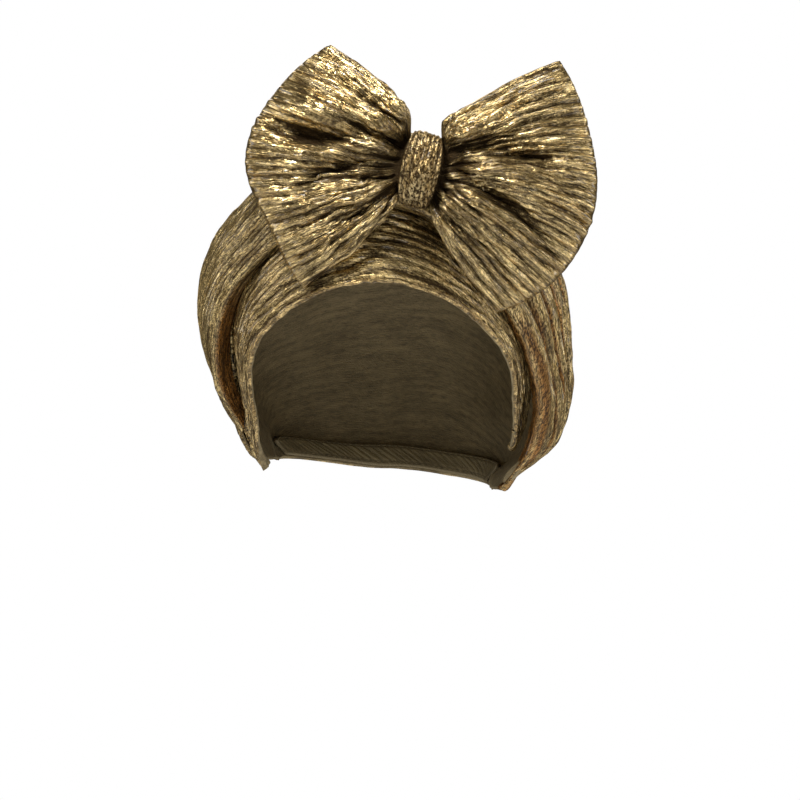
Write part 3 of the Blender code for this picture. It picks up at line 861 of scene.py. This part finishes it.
def make_casing(cloth, back):
    """The strip inside the crown's hem, gathered by its elastic, and its two lines of stitches."""
    angles = np.linspace(*CASING_ANGLES, CASING_COLUMNS)
    fine = np.linspace(NAPE, NAPE - CASING_REACH, CASING_FINE_ROWS)
    grid = crown_middle(fine, np.repeat(angles[None, :], CASING_FINE_ROWS, 0))
    inset = WALL / 2 + CASING_GAP + CASING_WALL / 2
    grid_inside = grid - normals_of(grid, HEAD_CENTRE) * inset
    height = cross_length(grid, 0)
    wanted = np.linspace(0, CASING_HEIGHT, CASING_ROWS)
    middle = np.empty((CASING_ROWS, CASING_COLUMNS, 3))
    for column in range(CASING_COLUMNS):
        for axis in range(3):
            middle[:, column, axis] = np.interp(wanted, height[:, column], grid_inside[:, column, axis])
    normal = normals_of(middle, HEAD_CENTRE)
    along, across = cross_length(middle, 0), cross_length(middle, 1)
    edge = edge_distance(along, across)
    rounding = edge_rounding(edge, CASING_EDGE_RADIUS, THICK_EDGE)
    gathers = crinkle(along, across, CASING_GATHER_PITCH, seed=61) * smooth_step((edge - 0.002) / 0.0015)
    inner = middle - normal * (CASING_WALL / 2 * rounding + CASING_GATHER_HEIGHT * gathers[..., None])
    outer = middle + normal * CASING_WALL / 2 * rounding
    readings = {"rise": gathers, "warmth": 0 * gathers}
    casing = make_wall("nape_casing_cloth", inner, outer, along, across, readings, (cloth, back))
    return casing, [inner[row] for row in (3, -4)]


# Bow


def bow_points(out, up, depth):
    """Points of the bow, out along +X and up +Z from its centre, depth towards the head."""
    out, up, depth = np.broadcast_arrays(out, up, depth)
    return BOW_CENTRE + np.stack([out, depth, up], axis=-1)


def leaned(out, up):
    """Places beside and above the bow's centre, turned with the bow's lean."""
    lean_cos, lean_sin = math.cos(BOW_LEAN), math.sin(BOW_LEAN)
    return out * lean_cos + up * lean_sin, up * lean_cos - out * lean_sin


def make_knot(cloth, back):
    across = np.sin(np.linspace(-1, 1, KNOT_ROWS) * math.pi / 2)[:, None]
    turn = np.linspace(-0.5 * math.pi, 1.5 * math.pi, KNOT_COLUMNS + 1)[None, :] + math.pi
    narrow = KNOT_HALF_WIDTH - KNOT_END_NARROWING * np.abs(np.cos(turn)) ** 3
    crown = 1 - 0.06 * across**2
    up = (KNOT_HALF_HEIGHT - KNOT_WALL / 2) * np.cos(turn) * crown
    depth = (KNOT_HALF_DEPTH - KNOT_WALL / 2) * np.sin(turn) * crown
    middle = bow_points(*leaned(narrow * across, up), depth)
    ring = middle[:, :-1]
    normal = normals_of(ring, BOW_CENTRE, loop=True)
    along = cross_length(middle, 1)
    width = KNOT_HALF_WIDTH * across + 0 * along
    length = along[:, -1:]
    again = smooth_step((along / length - 0.85) / 0.15)

    def closed(pattern):
        """A pattern along the band, blended so that its end meets its start."""
        return pattern(along) * (1 - again) + pattern(along - length) * again

    ribs = closed(lambda place: crinkle(place, width, KNOT_RIB_PITCH, seed=71))[:, :-1]
    waves = closed(lambda place: noise(place / 0.011, width / 0.0035, seed=77))[:, :-1]
    hem = edge_rounding(KNOT_HALF_WIDTH * (1 - np.abs(across)), KNOT_EDGE_RADIUS, THICK_EDGE)
    lift = KNOT_RIB_HEIGHT * ribs + KNOT_WAVE_HEIGHT * waves
    outer = ring + normal * (KNOT_WALL / 2 + lift[..., None]) * hem
    inner = ring - normal * KNOT_WALL / 2 * hem
    # The whole knot gets a little of the same painted warm reflection.
    readings = {"rise": 0.25 + 0.6 * ribs, "warmth": 0 * ribs + 0.1}
    return make_wall("bow_knot_cloth", outer, inner, along, width, readings, (cloth, back), loop=True)


def wing_end(wing, share):
    """The wing's outer end at a share of its spread: its place beside the bow's centre and its sweep."""
    reach, sweep = from_table(wing["end"], 1, share), from_table(wing["end"], 2, share)
    angle = wing["tilt"] + share * WING_HALF_SPREAD
    return reach * np.cos(angle), reach * np.sin(angle), sweep


def waist_half(share):
    """Half the depth of the bow's waist, which is oval."""
    inside = KNOT_HALF_DEPTH - KNOT_WALL - WAIST_CLEARANCE
    return inside * 0.94 * np.sqrt(np.clip(1 - share**2, 0, 1))


def bent(t, start, pull, end):
    """A curve from a start to an end, bent towards a place between them."""
    return (1 - t) ** 2 * start + 2 * t * (1 - t) * pull + t * t * end


def wing_middle(wing, along, share):
    """The wing's middle surface: along is 0 at the bow's centre and 1 at the outer end."""
    side = wing["side"]
    waist_up = share * (KNOT_HALF_HEIGHT - KNOT_WALL - WAIST_CLEARANCE) * 0.94
    exit_out = KNOT_HALF_WIDTH - KNOT_END_NARROWING * np.abs(share) ** 3 + WAIST_CLEARANCE
    out = FACING_GAP / 2 + (exit_out - FACING_GAP / 2) * along / WAIST_EXIT
    waist = bow_points(*leaned(side * out, waist_up), 0 * out)
    t = np.clip((along - WAIST_EXIT) / (1 - WAIST_EXIT), 0, 1)
    start_out, start_up = leaned(side * exit_out, waist_up)
    end_out, end_up, sweep = wing_end(wing, share)
    top, bottom = wing["edge_pull"]["top"], wing["edge_pull"]["bottom"]
    pull_up = np.where(share > 0, top[1] * share, -bottom[1] * share)
    pull_out = 0.5 * end_out * (1 - share**2) + np.where(share > 0, top[0], bottom[0]) * share**2
    out = bent(t, side * start_out, np.maximum(pull_out, exit_out), end_out)
    up = bent(t, start_up, pull_up, end_up)
    up = up + wing["shoulder"] * np.clip(share, 0, 1) ** 2.5 * (t / 0.12) * np.exp(1 - t / 0.12)
    body = bow_points(side * out, up, sweep * t * t)
    return np.where((along < WAIST_EXIT)[..., None], waist, body)


def fold_depth(x, z, folds):
    """How far the folds push the cloth in, at places of the front view."""
    total = np.zeros_like(x)
    for fold in folds:
        nearest = np.full_like(x, 9.0)
        pushed = np.zeros_like(x)
        rows = [(*row, row[-1])[:5] for row in fold]
        for (x0, z0, depth0, above0, below0), (x1, z1, depth1, above1, below1) in zip(rows, rows[1:]):
            dx, dz = x1 - x0, z1 - z0
            share = np.clip(((x - x0) * dx + (z - z0) * dz) / (dx * dx + dz * dz), 0, 1)
            off_x, off_z = x - (x0 + share * dx), z - (z0 + share * dz)
            distance = np.hypot(off_x, off_z)
            above = (dx * (z - z0) - dz * (x - x0)) * np.sign(dx) > 0
            width = np.where(above, above0 + share * (above1 - above0), below0 + share * (below1 - below0))
            depth = depth0 + share * (depth1 - depth0)
            u = distance / width
            valley = depth * (np.exp(-(u**1.25)) - 0.24 * np.exp(-(((u - 1.7) / 0.8) ** 2)))
            ridge = depth * np.exp(-((u / 1.2) ** 2))
            closer = distance < nearest
            pushed = np.where(closer, np.where(depth > 0, valley, ridge), pushed)
            nearest = np.minimum(nearest, distance)
        total += pushed
    return total


def wing_half(wing, t, share, folds, middle, front):
    """Half the thickness of the wing, on its front or its back, past the knot."""
    puff = WING_FRONT_PUFF if front else WING_BACK_PUFF
    rounding = np.sqrt(np.clip(1 - np.abs(share) ** 2.4, 0, 1))
    swell = puff * np.sqrt(np.clip(1 - t**4, 0, 1)) * rounding
    open_up = smooth_step(t * 3)
    half = WING_SEAM_HALF * t + waist_half(share) * (1 - open_up) + swell * open_up
    inside = smooth_step((1 - t) / 0.12) * smooth_step(rounding / 0.55)
    if front:
        half = half - fold_depth(middle[..., 0], middle[..., 2], folds) * inside
    else:
        for at_knot, at_end, depth, half_width, start, fade in wing["pleats"]:
            place = at_knot + (at_end - at_knot) * t
            ramp = smooth_step((t - start) / 0.08 + 0.4) * smooth_step((fade - t) / 0.35)
            half = half - 0.5 * depth * ramp * np.exp(-(((share - place) / half_width) ** 2))
    return np.maximum(half, WING_SEAM_HALF * rounding)


def make_wing(side, cloth, back):
    """A puffed loop of cloth, lofted through the rings round it from the bow's centre to its outer end."""
    wing, folds = WINGS[side], WING_FOLDS[side]
    seed = 101 if side == "left" else 151
    s = np.linspace(0, 1, WING_STATIONS + 1)
    along = (0.75 * s + 0.25 * (1 - (1 - s) ** 3))[:, None]
    turn = np.linspace(0, math.pi, WING_FACE_STEPS + 1)
    cut = 0.45 * np.cos(turn) + 0.55 * (1 - 2 * turn / math.pi)
    share = np.concatenate([cut, cut[-2:0:-1]])[None, :]
    steps = share.shape[1]
    front = (np.arange(steps) <= WING_FACE_STEPS)[None, :]
    share = share + 0 * along
    along = along + 0 * share
    middle = wing_middle(wing, along, share)
    t = np.clip((along - WAIST_EXIT) / (1 - WAIST_EXIT), 0, 1)
    face = wing_half(wing, t, share, folds, middle, True)
    rear = wing_half(wing, t, share, folds, middle, False)
    edge = np.abs(share) > 0.99999
    half = np.where(along <= WAIST_EXIT, waist_half(share), np.where(front, face, rear))
    half = np.where(edge, 0.0, half)
    ring = middle.copy()
    ring[..., 1] += np.where(front, -half, half)
    normal = normals_of(ring, BOW_CENTRE + np.array((0.04 * wing["side"], 0, 0)), loop=True)
    cloth_along = t * WING_CUT_LENGTH + 0.004 * np.minimum(half / 0.01, 2)
    cloth_across = share * WING_HALF_CUT
    ribs = crinkle(cloth_along, cloth_across, WING_RIB_PITCH, seed)
    waves = crinkle(cloth_along * 0.6, cloth_across, WING_WAVE_PITCH, seed + 20)
    fade_in = smooth_step((t - 0.02) / 0.30)
    gathers = np.abs(np.sin(math.pi * GATHERS * share / 2 + 1.8 * noise(t * 2.2, share * 3.2, seed + 9)))
    near_knot = smooth_step(t / 0.08) * (0.30 + 0.70 * smooth_step((0.75 - t) / 0.6))
    near_knot = near_knot * smooth_step((1 - t) / 0.25)
    inside = np.where(edge, 0.4, 1.0) * smooth_step((1 - t) / 0.03 + 0.25)
    lift = (WING_RIB_HEIGHT * (ribs - 0.25) + WING_WAVE_HEIGHT * (waves - 0.3)) * fade_in * inside
    lift = lift + GATHER_HEIGHT * (gathers**0.7 - 0.4) * near_knot
    lift = np.where(front, lift, 0.6 * lift) * (0.25 + 0.75 * np.abs(normal[..., 1]) ** 0.7)
    lift = np.where(along <= WAIST_EXIT, np.minimum(lift, 0), lift)
    points = ring + normal * lift[..., None]
    rise = np.clip(ribs * (0.35 + 0.65 * fade_in) + (gathers - 0.3) * 0.5 * near_knot, 0, 1)
    rim = smooth_step((t - 0.90) / 0.09)
    rise = rise + (0.55 - rise) * 0.65 * rim
    # Painted shade in the deep front folds: the rise is lowered there, which darkens the colour.
    folded = np.where(front, fold_depth(middle[..., 0], middle[..., 2], folds), 0.0)
    rise = np.clip(rise - 0.35 * smooth_step(folded / 0.011) * (1 - rim), 0, 1)
    stations = points.shape[0]
    map_points = np.stack([cloth_along, cloth_across], -1)
    r, c = grid_corners(stations, steps, loop=True)
    faces = (r * steps + c % steps).tolist()
    maps = [map_points[r, c % steps].reshape(-1, 2)]
    for row, turned in ((0, False), (stations - 1, True)):
        caps = [(0, 1, steps - 1)]
        caps += [(j, j + 1, steps - j - 1, steps - j) for j in range(1, WING_FACE_STEPS - 1)]
        caps += [(WING_FACE_STEPS - 1, WING_FACE_STEPS, WING_FACE_STEPS + 1)]
        for cap in caps:
            cap = cap[::-1] if turned else cap
            faces.append([row * steps + j for j in cap])
            maps.append(map_points[row, list(cap)])
    name = "bow_wing_%s_cloth" % side
    readings = {"rise": rise, "warmth": 0 * rise}
    kinds = [0] * len(faces)
    return new_piece(
        name, points.reshape(-1, 3), faces, (cloth, back), kinds, np.concatenate(maps), readings
    )


# Stitches


def stitch_tree(thread):
    """Geometry nodes that lay short stitches along a line of edges."""
    tree = bpy.data.node_groups.new("stitches", "GeometryNodeTree")
    sockets = tree.interface
    sockets.new_socket("Line", in_out="INPUT", socket_type="NodeSocketGeometry")
    sizes = {}
    usual = {"Spacing": HEM_STITCH_SPACING, "Stitch length": STITCH_LENGTH, "Thread radius": THREAD_RADIUS}
    for size, value in usual.items():
        socket = sockets.new_socket(size, in_out="INPUT", socket_type="NodeSocketFloat")
        socket.default_value = value
        sizes[size] = socket.identifier
    sockets.new_socket("Stitches", in_out="OUTPUT", socket_type="NodeSocketGeometry")

    def node(kind, values=None, **settings):
        return add_node(tree, kind, settings, values)

    given = node("NodeGroupInput")
    line = node("GeometryNodeMeshToCurve", {"Mesh": given["Line"]})[0]
    spaced = node("GeometryNodeResampleCurve", {"Curve": line, "Length": given["Spacing"]}, mode="LENGTH")[0]
    tangent = node("GeometryNodeInputTangent")[0]
    turned = node("FunctionNodeAlignRotationToVector", {"Vector": tangent}, axis="X")[0]
    bead = node("GeometryNodeMeshUVSphere", {"Segments": 6, "Rings": 5, "Radius": 1.0})["Mesh"]
    half = node("ShaderNodeMath", {0: given["Stitch length"], 1: 0.5}, operation="MULTIPLY")[0]
    radius = given["Thread radius"]
    size = node("ShaderNodeCombineXYZ", {"X": half, "Y": radius, "Z": radius})[0]
    places = {"Points": spaced, "Instance": bead, "Rotation": turned, "Scale": size}
    placed = node("GeometryNodeInstanceOnPoints", places)[0]
    real = node("GeometryNodeRealizeInstances", {"Geometry": placed})[0]
    finish = node("GeometryNodeSetMaterial", {"Material": thread, "Geometry": real})[0]
    node("NodeGroupOutput", {"Stitches": finish})
    return tree, sizes


def make_stitches(name, lines, tree, sizes, thread, spacing):
    """One piece with the stitches along several lines of points."""
    mesh = bpy.data.meshes.new(name)
    points, edges = [], []
    for line in lines:
        first = len(points)
        points += [list(map(float, p)) for p in line]
        edges += [(first + i, first + i + 1) for i in range(len(line) - 1)]
    mesh.from_pydata(points, edges, [])
    carrier = new_object(name + "_lines", mesh)
    modifier = carrier.modifiers.new("stitches", "NODES")
    modifier.node_group = tree
    modifier[sizes["Spacing"]] = spacing
    modifier[sizes["Stitch length"]] = STITCH_LENGTH
    modifier[sizes["Thread radius"]] = THREAD_RADIUS
    seen = carrier.evaluated_get(bpy.context.evaluated_depsgraph_get())
    made = bpy.data.meshes.new_from_object(seen)
    made.name = name
    if not made.materials:
        made.materials.append(thread)
    made.shade_smooth()
    piece = new_object(name, made)
    bpy.data.objects.remove(carrier, do_unlink=True)
    return piece


# Studio


def softbox(name, place, size, power):
    lamp = bpy.data.lights.new(name, "AREA")
    lamp.shape = "RECTANGLE"
    lamp.size, lamp.size_y = size
    lamp.energy = power
    holder = new_object(name, lamp)
    holder.location = place
    holder.rotation_euler = (Vector(LIGHTS_AIM) - Vector(place)).to_track_quat("-Z", "Y").to_euler()


def make_world():
    world = bpy.data.worlds.new("studio")
    bpy.context.scene.world = world
    world.use_nodes = True
    tree = world.node_tree
    tree.nodes.clear()
    path = add_node(tree, "ShaderNodeLightPath")
    seen = add_node(tree, "ShaderNodeBackground", {}, {"Color": (1, 1, 1, 1)})
    dim_light = {"Color": (1.0, 0.98, 0.94, 1), "Strength": WORLD_STRENGTH}
    dim = add_node(tree, "ShaderNodeBackground", {}, dim_light)
    mix = add_node(tree, "ShaderNodeMixShader", {}, {0: path["Is Camera Ray"], 1: dim[0], 2: seen[0]})
    add_node(tree, "ShaderNodeOutputWorld", {}, {"Surface": mix[0]})


def make_floor():
    mesh = bpy.data.meshes.new("floor")
    turns = [i * 2 * math.pi / FLOOR_SIDES for i in range(FLOOR_SIDES)]
    rim = [(FLOOR_RADIUS * math.cos(turn), FLOOR_RADIUS * math.sin(turn), FLOOR_Z) for turn in turns]
    mesh.from_pydata(rim, [], [list(range(FLOOR_SIDES))])
    finish = Finish("pale_floor")
    place = finish.node("ShaderNodeTexCoord", output=3)
    mottle = finish.node("ShaderNodeTexNoise", {}, {"Vector": place, "Scale": 3.0, "Detail": 2.0})
    colour = finish.blend(mottle, (0.82, 0.82, 0.81, 1), (0.86, 0.86, 0.85, 1))
    mesh.materials.append(finish.surface({"Base Color": colour, "Roughness": 0.8}))
    new_object("floor", mesh)


def make_camera():
    lens = bpy.data.cameras.new("camera")
    lens.lens = LENS_LENGTH
    lens.sensor_width = SENSOR_WIDTH
    camera = new_object("camera", lens)
    camera.location = CAMERA_PLACE
    camera.rotation_euler = (math.radians(90), 0, 0)
    bpy.context.scene.camera = camera


def main():
    make_camera()
    bpy.context.scene.view_settings.view_transform = "Standard"
    make_world()
    for light in LIGHTS:
        softbox(*light)
    make_floor()
    foils = {piece: foil_cloth(*look) for piece, look in FOILS.items()}
    back, casing_cloth = (knit_back(*look) for look in KNITS)
    thread = sewing_thread("gold_brown_thread")

    crown = make_crown(foils["crown"], back)
    band, hem_line = make_front_band(foils["band"], back)
    casing, casing_lines = make_casing(casing_cloth, casing_cloth)
    knot = make_knot(foils["knot"], back)
    left_wing = make_wing("left", foils["wing"], back)
    right_wing = make_wing("right", foils["wing"], back)

    stitches = (*stitch_tree(thread), thread)
    casing_stitches = make_stitches("nape_casing_stitches", casing_lines, *stitches, CASING_STITCH_SPACING)
    hem_stitches = make_stitches("front_band_stitches", [hem_line], *stitches, HEM_STITCH_SPACING)

    pieces = (crown, band, casing, knot, left_wing, right_wing, casing_stitches, hem_stitches)
    for piece in pieces:
        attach(piece, "root")
    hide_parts("crown")
    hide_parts("front_band")
    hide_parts("nape_casing")
    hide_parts("bow_knot")
    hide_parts("bow_wing_left")
    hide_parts("bow_wing_right")


main()
